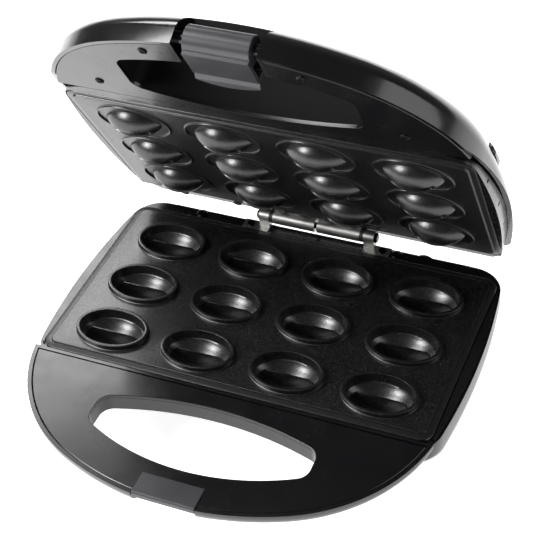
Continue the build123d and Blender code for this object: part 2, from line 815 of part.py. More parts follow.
def inlay(extra, depth):
    """The panel let into the top of the cover, as deep as given below the crown."""
    inset = inlay_inset - extra
    face = tub_section(inset, inset, corner=inlay_corner, rear=cover_rear_y, front=cover_front_y)
    return prism(face, cover_low_z, 2 * cover_top_z) - lid_body(depth)


def lamp_spot(i):
    """Place of one of the two lamps along the lid's shoulder."""
    return lamp_x, lamp_y + lamp_spacing * (i - 0.5)


def lens_at(grow, depth):
    """The long lens over the two lamps, standing out of the lid's shoulder."""
    face = SlotOverall(lens_length + 2 * grow, lens_width + 2 * grow, rotation=90)
    return Pos(lens_x, lens_y, 0) * prism(face, cover_low_z + 5.7 - depth, 2 * cover_top_z)


def lid_cover():
    """Glossy cover of the lid: one smooth dome over body and handle, with window, latch recess and inlay."""
    inside = lid_body(wall, 0) - prism(lid_window(wall), 0, cover_top_z) - latch_notch(wall)
    shell = lid_body(0) - inside
    shell -= prism(lid_window(), 0, 2 * cover_top_z)
    shell -= prism(lid_window(wall), 0, lid_plate_z + panel_thickness)
    posts = [disc(x, y, lid_plate_z + panel_thickness, cover_top_z, boss_radius) for x, y in lid_screw_places]
    shell += [post & lid_body(wall / 2) for post in posts]
    shell = shell - sweep_cut() - latch_notch()
    shell -= block(-recess_half, recess_half, recess_back_y - 1, lid_window_front + 5, 0, bridge_z)
    shell += [bar(*sorted((side * (latch_half + 0.4), side * (recess_half + 1))), latch_y, latch_z, latch_boss_radius) for side in (-1, 1)]
    shell -= bar(-recess_half - 5, recess_half + 5, latch_y, latch_z, latch_pin_radius)
    shell -= [disc(x, y, 0, lid_plate_z + panel_thickness + 6, dome_shank) for x, y in lid_screw_places]
    shell -= inlay(0.15, inlay_thickness)
    return shell - lens_at(0.1, 0)


def lid_handle_panel():
    """Flat panel on the inner side of the lid's handle."""
    face = lid_outline(wall + panel_gap) - behind(lid_panel_back_y) - lid_window()
    panel = prism(face, lid_plate_z, lid_plate_z + panel_thickness)
    edge = panel.faces().sort_by(Axis.Z)[0].outer_wire().edges()
    panel = chamfer(edge, panel_chamfer)
    panel -= latch_notch(wall + assembly_gap)
    panel -= block(-recess_half, recess_half, 2 * front_y, lid_window_front + 5, 0, 20)
    return panel - [disc(x, y, 0, 20, dome_shank + assembly_gap) for x, y in lid_screw_places]


def lid_handle_screws():
    """Four domed screws through the handle panel into the cover."""
    return [
        Pos(x, y, lid_plate_z) * Rot(180, 0, 0) * dome(lid_screw_head, 1.2)
        + disc(x, y, lid_plate_z, lid_plate_z + panel_thickness + 5, dome_shank)
        for x, y in lid_screw_places
    ]


def lid_top_panel():
    """Satin panel let into the top of the cover."""
    return inlay(0, inlay_thickness) & lid_body(0)


def lid_housing():
    """Dark frame of the lid: side walls, ledge round the plate, rear shelf and web with posts."""
    web_top = housing_web_z + wall
    step_z = cover_low_z - 2 * panel_gap
    web_face = tub_section(web_inset - cover_extra, web_inset, rear=cover_rear_y - cover_extra, front=cover_front_y)
    outer = prism(housing_section(0), housing_bottom, step_z) + prism(web_face, step_z, web_top)
    at = Pos(0, lid_plate_y, 0)
    opening = at * RectangleRounded(plate_width + 1, plate_depth + 1, plate_corner)
    ledge_face = at * RectangleRounded(plate_width - 2 * block_inset + 1, plate_depth - 2 * block_inset + 1, plate_corner - 2)
    hollow_face = tub_section(housing_inset + wall, wall, rear=housing_rear_y + housing_inset, front=housing_front_y)
    ledge_z = lid_plate_z + flange
    outer -= prism(opening, 0, ledge_z)
    outer -= prism(ledge_face, 0, ledge_z + ledge)
    outer -= prism(hollow_face, ledge_z + ledge, step_z - wall)
    inner_face = tub_section(web_inset + wall - cover_extra, web_inset + wall, rear=cover_rear_y - cover_extra, front=cover_front_y)
    outer -= prism(inner_face, step_z - wall, housing_web_z)
    rear = -lid_forward + plate_depth / 2 + 0.5
    shelf_z = hinge_z + knuckle_radius
    reach = 2 * half_width
    outer -= block(-reach, reach, rear, reach, 0, shelf_z)
    outer -= block(-reach, reach, hinge_y + 3.1, reach, 0, housing_rear_z)
    outer += [disc(x, y, lid_back_z, housing_web_z + 0.5, boss_radius) for x, y in plate_screw_places]
    outer -= [disc(x, y, 0, web_top + 1, plate_screw_radius + 0.2) for x, y in plate_screw_places]
    outer -= [disc(x, lid_bracket_screw_y, 0, shelf_z + 3, bracket_screw_radius) for x in lid_bracket_screw_xs]
    outer -= [Pos(0, y, z) * Rot(0, 90, 0) * Cylinder(vent_radius, 2 * reach) & sides() for y, z in vent_places]
    return outer


def sides():
    """Blocks that hold only the two outer side walls of the lid."""
    reach = 2 * half_width
    return block(-reach, reach, -reach, reach, -reach, reach) - block(3 - half_width + 2, half_width - 5, -reach, reach, -reach, reach)


def lid_stops():
    """Two small round bumpers under the rear of the lid's frame."""
    low = hinge_z + knuckle_radius
    return [disc(x, y, low - stop_length, low, stop_radius) for x, y in stop_places]


def thermostat():
    """Round thermostat clamped on the back of the upper plate, with two blades."""
    low = lid_back_z
    part = disc(0, grid_y, low, low + thermostat_height, thermostat_radius)
    for side in (-1, 1):
        part += block(side * 4 - 0.4, side * 4 + 0.4, grid_y - 10.5, grid_y + 10.5, low + 2, low + 5)
    return part


def lamp_holder():
    """Clip on the web that carries the two lamps."""
    low = housing_web_z + wall
    part = block(lamp_x - 5, lamp_x + 5, lamp_y - lamp_spacing, lamp_y + lamp_spacing, low, low + 2)
    for i in range(2):
        x, y = lamp_spot(i)
        part -= disc(x, y, low - 1, low + 3, lamp_radius)
    return part


def lamp(i):
    """One small lamp with a round tip."""
    x, y = lamp_spot(i)
    low = housing_web_z + wall
    return disc(x, y, low, low + lamp_length - lamp_radius, lamp_radius) + Pos(x, y, low + lamp_length - lamp_radius) * Sphere(lamp_radius)


def indicator_lens():
    """Clear lens over both lamps."""
    proud = lid_body(-lens_rise)
    inner = lid_body(wall + 0.8)
    return (lens_at(0, 0) & proud) - inner


def latch_pin():
    """Steel pin of the latch."""
    return bar(-recess_half - 1.5, recess_half + 1.5, latch_y, latch_z, latch_pin_radius)


def latch_profile():
    """Side view of the latch's arm: a groove across its outer face, then a tab that flares outwards."""
    low = latch_z - latch_reach
    groove_y = latch_y + latch_groove_reach
    near = Vector(groove_y - latch_groove, low)
    deep = Vector(groove_y, low + latch_groove_depth)
    far = Vector(groove_y + latch_groove, low - latch_tab_flare / 4)
    tip = Vector(latch_tip_y, low - latch_tab_flare)
    inner = Vector(0, latch_thickness)
    start = Vector(latch_y, low)
    points = [start, near, deep, far, tip, tip + inner * 0.8, far + inner, start + inner]
    return make_face(Polyline([(v.X, v.Y) for v in points], close=True))


def latch():
    """Clip that swings on its pin: a round drum, an arm with a hook inside and a rounded finger tab."""
    low = latch_z - latch_reach
    hook_y = latch_y + latch_hook_reach
    hook_top = low + latch_thickness + latch_hook
    drum = bar(-latch_half, latch_half, latch_y, latch_z, latch_drum)
    arm = extrude(Plane.YZ * latch_profile(), amount=latch_half, both=True)
    web = block(-latch_half, latch_half, latch_y - 2, latch_y + 5.5, low, latch_z)
    hook = block(-latch_half, latch_half, hook_y, hook_y + latch_hook_thickness, low + latch_thickness / 2, hook_top)
    part = drum + arm + web + hook
    crescent = Pos(0, latch_tip_y - latch_tip_radius) * Circle(latch_tip_radius)
    part = part & (prism(crescent, 0, 50) + block(-latch_half, latch_half, latch_y - 10, latch_y + 10, 0, 50))
    return part - bar(-latch_half - 1, latch_half + 1, latch_y, latch_z, latch_pin_radius + running_clearance)


def lower_heater():
    """Tubular heater under the lower plate."""
    return heater(-plate_block - heater_radius)


def upper_heater():
    """Tubular heater above the upper plate."""
    return heater(lid_back_z + heater_radius)


def lower_heater_clamps():
    """Straps for the lower heater."""
    return heater_clamps(-plate_block, -1)


def upper_heater_clamps():
    """Straps for the upper heater."""
    return heater_clamps(lid_back_z, 1)


def lower_reflector():
    """Reflector under the lower heater."""
    return reflector(-plate_block, -1)


def upper_reflector():
    """Reflector above the upper heater."""
    return reflector(lid_back_z, 1)


def lamp_red():
    """Power lamp."""
    return lamp(0)


def lamp_green():
    """Ready lamp."""
    return lamp(1)


base_pieces = [
    base_housing, base_handle_panel, latch_keeper, lower_plate, lower_heater, lower_heater_clamps,
    lower_reflector, lower_plate_screws, hinge_bracket_lower, hinge_bracket_lower_screws, hinge_pin,
    hinge_washers, rear_rail_screws, rubber_feet, foot_screws, terminal_block, thermal_fuse, cord_gland,
]
lid_pieces = [
    lid_housing, lid_cover, lid_handle_panel, lid_handle_screws, lid_top_panel, upper_plate, upper_heater,
    upper_heater_clamps, upper_reflector, upper_plate_screws, hinge_bracket_upper,
    hinge_bracket_upper_screws, thermostat, lamp_holder, lamp_red, lamp_green, indicator_lens, latch_pin,
    lid_stops, latch,
]

# Where the finished object stands, and how far the lid is turned open
place = Pos(0, middle_shift, rim_height)
opened = Pos(0, hinge_y, hinge_z) * Rot(-lid_angle, 0, 0) * Pos(0, -hinge_y, -hinge_z)


def finished(make, where):
    """One piece in its place on the floor; several bodies make one compound."""
    made = make()
    shape = Compound(children=made) if isinstance(made, list) else made
    return where * shape


def main():
    os.makedirs("parts", exist_ok=True)
    for make in base_pieces:
        export_step(finished(make, place), f"parts/{make.__name__}.step")
    for make in lid_pieces:
        export_step(finished(make, place * opened), f"parts/{make.__name__}.step")


if __name__ == "__main__":
    main()
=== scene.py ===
"""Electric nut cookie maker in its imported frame: finishes, fine detail, stage and camera."""
import json
import math

import bmesh
import bpy
from mathutils import Matrix, Vector


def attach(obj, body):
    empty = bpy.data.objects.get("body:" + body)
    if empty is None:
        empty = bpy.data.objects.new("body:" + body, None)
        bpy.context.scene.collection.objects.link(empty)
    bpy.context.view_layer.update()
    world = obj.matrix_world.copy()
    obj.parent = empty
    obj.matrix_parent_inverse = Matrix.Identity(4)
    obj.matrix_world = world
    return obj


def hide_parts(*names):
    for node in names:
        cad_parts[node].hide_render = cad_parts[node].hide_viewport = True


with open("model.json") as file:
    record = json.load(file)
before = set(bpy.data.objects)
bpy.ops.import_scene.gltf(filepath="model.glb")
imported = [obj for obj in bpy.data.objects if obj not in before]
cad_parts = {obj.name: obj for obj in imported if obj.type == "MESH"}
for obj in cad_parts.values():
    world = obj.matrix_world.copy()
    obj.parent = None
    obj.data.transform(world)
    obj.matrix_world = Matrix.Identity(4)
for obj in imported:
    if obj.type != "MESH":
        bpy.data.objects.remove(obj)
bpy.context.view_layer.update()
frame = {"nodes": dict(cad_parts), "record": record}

bl_info = {
    "name": "Nut Cookie Maker",
    "version": (1, 0, 0),
    "blender": (4, 5, 0),
    "location": "View3D > Sidebar > Cookie Maker",
    "description": "Finishes and details of an electric nut cookie maker",
    "category": "Object",
}

MM = 0.001
MIDDLE = (0.0, 0.02765, 0.04)
PLATE = (240.0, 135.6, 8.0)
PITCH = (55.6, 41.4)
GRID_Y = -3.3
WINDOW_HALF, WINDOW_FRONT = 70.0, -141.0
BOWL, BELLY = (38.0, 25.0, 7.2), (35.0, 22.0, 9.0)
BOWL_EDGE, LOWER_DECK, UPPER_DECK = -1.5, 1.0, 5.7
RIDGE_FOOT, RIDGE_FOOT_HALF = -9.8, 1.8


class MakerLooks(bpy.types.PropertyGroup):
    """Values that the finishes share."""
    gloss: bpy.props.FloatProperty(name="Cover roughness", default=0.2, min=0.0, max=1.0)
    satin: bpy.props.FloatProperty(name="Handle roughness", default=0.24, min=0.0, max=1.0)
    speckle: bpy.props.FloatProperty(name="Coating speckle scale", default=1500.0, min=100.0, max=5000.0)


def looks():
    """The shared values."""
    return bpy.context.scene.maker_looks


def linear(hex_colour):
    """A hex colour as linear red, green, blue, alpha."""
    parts = [int(hex_colour[i:i + 2], 16) / 255 for i in (1, 3, 5)]
    return [p / 12.92 if p <= 0.04045 else ((p + 0.055) / 1.055) ** 2.4 for p in parts] + [1.0]


class Nodes:
    """Small helper to write a material's node tree."""

    def __init__(self, name):
        self.material = bpy.data.materials.new("maker_" + name)
        self.material.use_nodes = True
        self.tree = self.material.node_tree
        self.shader = self.tree.nodes["Principled BSDF"]
        self.coords = self.tree.nodes.new("ShaderNodeTexCoord")

    def add(self, kind, **values):
        node = self.tree.nodes.new(kind)
        for key, value in values.items():
            if hasattr(node, key):
                setattr(node, key, value)
            else:
                node.inputs[key.replace("_", " ").title()].default_value = value
        return node

    def link(self, a, b):
        self.tree.links.new(a, b)

    def noise(self, scale, detail=3.0, roughness=0.55, stretch=None):
        node = self.add("ShaderNodeTexNoise", Scale=scale, Detail=detail, Roughness=roughness)
        source = self.coords.outputs["Object"]
        if stretch:
            mapping = self.add("ShaderNodeMapping")
            mapping.inputs["Scale"].default_value = stretch
            self.link(source, mapping.inputs["Vector"])
            source = mapping.outputs["Vector"]
        self.link(source, node.inputs["Vector"])
        return node.outputs["Fac"]

    def spread(self, value, low, high, start=0.3, end=0.7):
        node = self.add("ShaderNodeMapRange")
        node.inputs["From Min"].default_value = start
        node.inputs["From Max"].default_value = end
        node.inputs["To Min"].default_value = low
        node.inputs["To Max"].default_value = high
        self.link(value, node.inputs["Value"])
        return node.outputs["Result"]

    def mix(self, value, low, high):
        node = self.add("ShaderNodeMix", data_type="RGBA")
        node.inputs["A"].default_value = linear(low)
        node.inputs["B"].default_value = linear(high)
        self.link(value, node.inputs["Factor"])
        return node.outputs["Result"]

    def bump(self, value, strength, distance, below=None):
        node = self.add("ShaderNodeBump")
        node.inputs["Strength"].default_value = strength
        node.inputs["Distance"].default_value = distance
        self.link(value, node.inputs["Height"])
        if below:
            self.link(below, node.inputs["Normal"])
        return node.outputs["Normal"]

    def math(self, operation, *values):
        node = self.add("ShaderNodeMath", operation=operation)
        for socket, value in zip(node.inputs, values):
            if isinstance(value, bpy.types.NodeSocket):
                self.link(value, socket)
            else:
                socket.default_value = value
        return node.outputs["Value"]

    def closed(self, kind):
        """Place or direction as it is with the lid shut."""
        pivot, angle = hinge()
        turn = Matrix.Rotation(-angle, 3, "X")
        mapping = self.add("ShaderNodeMapping", vector_type="POINT")
        mapping.inputs["Rotation"].default_value = (-angle, 0.0, 0.0)
        if kind == "Object":
            mapping.inputs["Location"].default_value = pivot - turn @ pivot
        self.link(self.coords.outputs[kind], mapping.inputs["Vector"])
        parts = self.add("ShaderNodeSeparateXYZ")
        self.link(mapping.outputs["Vector"], parts.inputs[0])
        return parts

    def window_wall(self):
        """1 on the walls of the hand window, whose mould is left dull, and 0 elsewhere."""
        place, facing = self.closed("Object"), self.closed("Normal")
        level = self.math("ABSOLUTE", facing.outputs["Z"])
        upright = self.spread(level, 1.0, 0.0, 0.3, 0.6)
        aside = self.math("ABSOLUTE", place.outputs["X"])
        narrow = self.math("LESS_THAN", aside, WINDOW_HALF * MM)
        behind = self.math("GREATER_THAN", place.outputs["Y"], WINDOW_FRONT * MM + MIDDLE[1])
        return self.math("MULTIPLY", upright, self.math("MULTIPLY", narrow, behind))

    def set(self, name, value):
        socket = self.shader.inputs[name]
        if isinstance(value, bpy.types.NodeSocket):
            self.link(value, socket)
        else:
            socket.default_value = value


def plastic(name, dark, light, rough, grain=900.0, bump=0.15, coat=0.0, tunnel=False):
    """Moulded plastic: fine grain, slow change of tone and of roughness."""
    m = Nodes(name)
    m.set("Base Color", m.mix(m.spread(m.noise(18.0), 0.0, 1.0), dark, light))
    gloss = m.spread(m.noise(60.0, 4.0), rough - 0.04, rough + 0.05)
    if tunnel:
        wall = m.window_wall()
        gloss = m.math("MAXIMUM", gloss, m.math("MULTIPLY", wall, 0.6))
        clear = m.math("SUBTRACT", 1.0, wall)
        m.set("Specular IOR Level", m.math("MULTIPLY_ADD", clear, 0.4, 0.1))
        coat = m.math("MULTIPLY", clear, coat)
    m.set("Roughness", gloss)
    m.set("Normal", m.bump(m.noise(grain, 2.0), bump, 0.00003))
    m.set("IOR", 1.5)
    m.set("Coat Weight", coat)
    m.set("Coat Roughness", 0.1)
    return m.material


def coating(name, dark, light):
    """Non-stick coating: dark, slightly sparkling, with a fine orange peel."""
    m = Nodes(name)
    fleck = m.spread(m.noise(looks().speckle, 1.0, 0.5), 0.0, 1.0, 0.56, 0.74)
    m.set("Base Color", m.mix(fleck, dark, light))
    m.set("Roughness", m.spread(m.noise(900.0, 2.0), 0.27, 0.34))
    peel = m.bump(m.noise(700.0, 2.0), 0.22, 0.00006)
    m.set("Normal", m.bump(m.noise(looks().speckle, 1.0), 0.5, 0.00006, peel))
    m.set("Specular IOR Level", 0.8)
    return m.material


def metal(name, dark, light, rough, stretch=(1.0, 1.0, 1.0), grain=500.0, bump=0.1):
    """Bare metal: drawn grain along one direction, uneven gloss."""
    m = Nodes(name)
    lines = m.noise(grain, 4.0, 0.6, stretch)
    m.set("Base Color", m.mix(m.spread(lines, 0.0, 1.0), dark, light))
    m.set("Metallic", 1.0)
    m.set("Roughness", m.spread(m.noise(70.0, 4.0), rough - 0.06, rough + 0.08))
    m.set("Normal", m.bump(lines, bump, 0.0002))
    return m.material


def glowing(name, dark, light, glass=0.5):
    """Clear coloured plastic of a lamp or lens."""
    m = Nodes(name)
    m.set("Base Color", m.mix(m.spread(m.noise(300.0), 0.0, 1.0), dark, light))
    m.set("Roughness", m.spread(m.noise(200.0), 0.05, 0.14))
    m.set("Transmission Weight", glass)
    m.set("IOR", 1.49)
    m.set("Normal", m.bump(m.noise(500.0), 0.05, 0.0002))
    return m.material


def woven(name, dark, light):
    """Woven glass sleeve."""
    m = Nodes(name)
    wave = m.add("ShaderNodeTexWave")
    wave.inputs["Scale"].default_value = 900.0
    wave.inputs["Distortion"].default_value = 1.5
    m.link(m.coords.outputs["Object"], wave.inputs["Vector"])
    m.set("Base Color", m.mix(wave.outputs["Fac"], dark, light))
    m.set("Roughness", 0.9)
    m.set("Normal", m.bump(wave.outputs["Fac"], 0.5, 0.0003))
    return m.material


def finishes():
    """All materials by the record's slot name."""
    s = looks()
    return {
        "housing_black": plastic("housing_black", "#08080a", "#0c0c0e", 0.26, 1100.0, 0.12, 0.25),
        "handle_satin": plastic("handle_satin", "#08080a", "#0d0d0f", s.satin, 1400.0, 0.12, 0.15),
        "cover_gloss": plastic("cover_gloss", "#070708", "#0b0b0c", s.gloss, 300.0, 0.02, 0.35, True),
        "inlay_satin": plastic("inlay_satin", "#0d0d0e", "#131314", 0.28, 900.0, 0.1, 0.4),
        "nonstick_coating": coating("nonstick_coating", "#050506", "#343437"),
        "satin_grey": plastic("satin_grey", "#303034", "#3b3b3f", 0.33, 1300.0, 0.1, 0.3),
        "bracket_steel": metal("bracket_steel", "#a09f9d", "#c2c1be", 0.38, (0.12, 1.0, 1.0)),
        "screw_steel": metal("screw_steel", "#a5a4a0", "#c9c8c4", 0.26),
        "screw_black": metal("screw_black", "#161616", "#262626", 0.34),
        "washer_black": plastic("washer_black", "#0e0e0e", "#181818", 0.5, 1200.0, 0.2),
        "foot_rubber": plastic("foot_rubber", "#121212", "#1b1b1b", 0.75, 1600.0, 0.35),
        "heater_steel": metal("heater_steel", "#4f4a45", "#6d675f", 0.48),
        "sheet_aluminium": metal("sheet_aluminium", "#b9babb", "#d9dadb", 0.24, (1.0, 0.08, 1.0)),
        "terminal_white": plastic("terminal_white", "#cfccc3", "#dedbd2", 0.5, 900.0, 0.2),
        "fuse_sleeve": woven("fuse_sleeve", "#8f8468", "#c9bd9c"),
        "lamp_red": glowing("lamp_red", "#8f0f0b", "#c21a12"),
        "lamp_green": glowing("lamp_green", "#0b6b22", "#149436"),
        "lens_clear": glowing("lens_clear", "#3c3c40", "#55555a", 0.7),
    }


def finish(slot):
    """The material made for one of the record's slots."""
    return bpy.data.materials["maker_" + slot]


def paint(obj, material):
    """Gives every slot of an object one material."""
    if not obj.material_slots:
        obj.data.materials.append(material)
    for slot in obj.material_slots:
        slot.material = material


def node_slots():
    """Material slot of each node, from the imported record."""
    return {s["node"]: s["material_slot"] for s in frame["record"]["subparts"]}


def body_of(node):
    """The body that a node belongs to."""
    for body, nodes in frame["record"]["behaviour"]["bodies"].items():
        if node in nodes:
            return body
    return None


def finish_nodes(names):
    """Gives CAD nodes that keep their shape their material."""
    slots = node_slots()
    for name in names:
        paint(frame["nodes"][name], finish(slots[name]))


def stands_for(obj, node):
    """Gives a finished piece its node's finish and body, and hides the node."""
    slot = node_slots()[node]
    paint(obj, finish(slot))
    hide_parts(node)
    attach(obj, body_of(node))
    return obj


def new_object(name, bm):
    """Links a mesh that is already in place."""
    mesh = bpy.data.meshes.new(name)
    bm.to_mesh(mesh)
    bm.free()
    obj = bpy.data.objects.new(name, mesh)
    bpy.context.collection.objects.link(obj)
    return obj


def softened(node, width, merge=0.02, angle=35.0, segments=2):
    """The node's shape with rounded edges that catch the light."""
    bm = bmesh.new()
    bm.from_mesh(frame["nodes"][node].data)
    bmesh.ops.remove_doubles(bm, verts=bm.verts, dist=merge * MM)
    bmesh.ops.dissolve_degenerate(bm, dist=merge * MM, edges=bm.edges)
    bmesh.ops.dissolve_limit(bm, angle_limit=math.radians(0.4), verts=bm.verts, edges=bm.edges)
    limit = math.radians(angle)
    for face in bm.faces:
        face.smooth = True
    for edge in bm.edges:
        edge.smooth = len(edge.link_faces) == 2 and edge.calc_face_angle(0.0) < limit
    obj = new_object(node + "_soft", bm)
    bevel = obj.modifiers.new("edges", "BEVEL")
    bevel.width = width * MM
    bevel.segments = segments
    bevel.limit_method = "ANGLE"
    bevel.angle_limit = limit
    bevel.harden_normals = True
    bevel.use_clamp_overlap = True
    return stands_for(obj, node)


def hinge():
    """Place of the lid's hinge, and the angle at which the lid stands open."""
    joint = next(j for j in frame["record"]["behaviour"]["joints"] if j["name"] == "lid_hinge")
    return Vector(joint["pos_m"]), math.radians(joint["range_deg"][0])


def to_base():
    """From drawing coordinates in mm to the base."""
    return Matrix.Translation(MIDDLE) @ Matrix.Scale(MM, 4)


def to_lid():
    """From drawing coordinates in mm to the open lid."""
    at, turn = hinge()
    return Matrix.Translation(at) @ Matrix.Rotation(turn, 4, "X") @ Matrix.Translation(-at) @ to_base()


def oval(a, b, z, n=72):
    """Points round an ellipse."""
    return [(a * math.cos(2 * math.pi * i / n), b * math.sin(2 * math.pi * i / n), z) for i in range(n)]


def rounded(width, depth, corner, z, y=0.0, steps=6):
    """Points round a rectangle with round corners."""
    points = []
    for k in range(4):
        sx, sy = ((1, 1), (-1, 1), (-1, -1), (1, -1))[k]
        for i in range(steps + 1):
            turn = math.pi / 2 * (k + i / steps)
            points.append((sx * (width / 2 - corner) + corner * math.cos(turn),
                           y + sy * (depth / 2 - corner) + corner * math.sin(turn), z))
    return points


def skin(bm, loops, close=False):
    """Faces between closed loops of points; the last loop may be closed with a face."""
    rows = [[bm.verts.new(p) for p in loop] for loop in loops]
    for low, high in zip(rows, rows[1:]):
        for i in range(len(low)):
            j = (i + 1) % len(low)
            bm.faces.new((low[i], low[j], high[j], high[i]))
    if close:
        bm.faces.new(rows[-1])
    return rows


def girth_of(length, width, depth, x):
    """Radius of a boat's round section at a place along it, and the height of its middle over the deck."""
    half = length / 2
    radius = ((width / 2) ** 2 + depth**2) / (2 * depth)
    arc = (half**2 + depth**2) / (2 * depth)
    return radius - arc + math.sqrt(max(arc**2 - min(abs(x), half) ** 2, 0.0)), radius - depth


def belly_depth(size, x, y):
    """Depth of a boat's round belly under a point of its deck; zero outside."""
    girth, rise = girth_of(*size, x)
    return max(math.sqrt(max(girth**2 - y**2, 0.0)) - rise, 0.0)


def deck_half(size, x):
    """Half width of a boat's deck at a place along it."""
    girth, rise = girth_of(*size, x)
    return math.sqrt(max(girth**2 - rise**2, 0.0))


def belly_rows(size, z, way, shares, cut=None, n=72):
    """Loops over a boat's belly from its edge to its middle line; a groove may be cut along it.

    A share is a part of the deck's half width or, below zero, a distance from the middle line.
    """
    rows = []
    for share in shares:
        row = []
        for i in range(n):
            turn = 2 * math.pi * i / n
            x = size[0] / 2 * math.cos(turn)
            side = 1 if math.sin(turn) >= 0 else -1
            half = deck_half(size, x)
            y = half * share if share >= 0 else min(-share, half)
            down = belly_depth(size, x, y)
            if cut and y < cut[0]:
                down = min(down, cut[1])
            row.append((x, side * y, z + way * down))
        rows.append(row)
    return rows


def rim(outer, inner, foot, top, soft=0.4):
    """Loops over a raised oval ring with rounded edges; up or down from its foot."""
    way = 1 if top > foot else -1
    (a, b), (c, d) = outer, inner
    k = soft * 0.3
    return [
        oval(a + 0.7, b + 0.7, foot),
        oval(a + 0.25, b + 0.25, foot + way * 0.04),
        oval(a, b, foot + way * 0.25),
        oval(a, b, top - way * soft),
        oval(a - k, b - k, top - way * k),
        oval(a - soft, b - soft, top),
        oval(c + soft, d + soft, top),
        oval(c + k, d + k, top - way * k),
        oval(c, d, top - way * soft),
    ]


def mould_mesh():
    """One mould: raised ring, drafted wall, bowl and the ridge along it."""
    bm = bmesh.new()
    loops = rim((22.5, 16.0), (20.3, 13.8), LOWER_DECK, 4.0)
    loops += [oval(19.55, 13.05, -1.2), oval(19.4, 12.9, -1.44), oval(19.1, 12.6, BOWL_EDGE)]
    shares = (0.995, 0.97, 0.93, 0.86, 0.76, 0.64, 0.5, 0.35, 0.2, 0.08, 0.0)
    loops += belly_rows(BOWL, BOWL_EDGE, -1, shares)
    skin(bm, loops)
    stations = ((-16.0, 0.709, -2.2), (-13.5, 0.35, 0.3), (13.5, 0.35, 0.3), (16.0, 0.709, -2.2))
    ring = []
    for x, w, z in stations:
        corners = ((-RIDGE_FOOT_HALF, RIDGE_FOOT), (-w, z), (w, z), (RIDGE_FOOT_HALF, RIDGE_FOOT))
        ring.append([bm.verts.new((x, y, height)) for y, height in corners])
    for low, high in zip(ring, ring[1:]):
        for i in range(4):
            bm.faces.new((low[i], low[(i + 1) % 4], high[(i + 1) % 4], high[i]))
    bm.faces.new(ring[0])
    bm.faces.new(list(reversed(ring[-1])))
    crest = {v for v in bm.verts if v.co.z > -3 and abs(v.co.y) < 0.72 and abs(v.co.x) < 16.1}
    top = [e for e in bm.edges if crest.issuperset(e.verts) and len(e.link_faces) == 2]
    bmesh.ops.bevel(bm, geom=top, offset=0.22, segments=2, affect="EDGES")
    return bm


def punch_mesh():
    """One punch: thin oval bead, round belly and the groove that clears the ridge."""
    bm = bmesh.new()
    loops = rim((23.0, 18.5), (21.8, 17.3), UPPER_DECK, 4.7, 0.3)
    loops += [oval(21.8, 17.3, 5.5), oval(21.6, 17.1, 5.68), oval(21.2, 16.7, UPPER_DECK)]
    loops.append(oval(18.2, 11.7, UPPER_DECK))
    outside = (1.0, 0.98, 0.94, 0.88, 0.8, 0.7, 0.6, 0.5, 0.4, 0.3)
    groove = (-2.35, -2.2, -1.55, -1.4, -0.5, 0.0)
    loops += belly_rows(BELLY, UPPER_DECK, -1, outside + groove, cut=(2.1, 4.8))
    skin(bm, loops)
    return bm


def repeated(name, unit, places, slot):
    """Geometry Nodes put one mesh at every place; the result is a plain mesh."""
    source = new_object(name + "_unit", unit)
    points = bmesh.new()
    for place in places:
        points.verts.new(place)
    obj = new_object(name + "_places", points)
    tree = bpy.data.node_groups.new(name + "_repeat", "GeometryNodeTree")
    tree.interface.new_socket("Geometry", in_out="INPUT", socket_type="NodeSocketGeometry")
    tree.interface.new_socket("Geometry", in_out="OUTPUT", socket_type="NodeSocketGeometry")
    start = tree.nodes.new("NodeGroupInput")
    info = tree.nodes.new("GeometryNodeObjectInfo")
    info.inputs["Object"].default_value = source
    copies = tree.nodes.new("GeometryNodeInstanceOnPoints")
    real = tree.nodes.new("GeometryNodeRealizeInstances")
    colour = tree.nodes.new("GeometryNodeSetMaterial")
    colour.inputs["Material"].default_value = finish(slot)
    end = tree.nodes.new("NodeGroupOutput")
    tree.links.new(start.outputs[0], copies.inputs["Points"])
    tree.links.new(info.outputs["Geometry"], copies.inputs["Instance"])
    tree.links.new(copies.outputs["Instances"], real.inputs["Geometry"])
    tree.links.new(real.outputs["Geometry"], colour.inputs["Geometry"])
    tree.links.new(colour.outputs["Geometry"], end.inputs[0])
    modifier = obj.modifiers.new("repeat", "NODES")
    modifier.node_group = tree
    graph = bpy.context.evaluated_depsgraph_get()
    result = bmesh.new()
    result.from_mesh(obj.evaluated_get(graph).to_mesh())
    obj.modifiers.clear()
    for left in (obj, source):
        bpy.data.objects.remove(left)
    return result


def shaded(bm, angle=38.0):
    """Smooth shading, with the sharper edges kept."""
    bmesh.ops.recalc_face_normals(bm, faces=bm.faces)
    for face in bm.faces:
        face.smooth = True
    for edge in bm.edges:
        edge.smooth = len(edge.link_faces) == 2 and edge.calc_face_angle(0.0) < math.radians(angle)


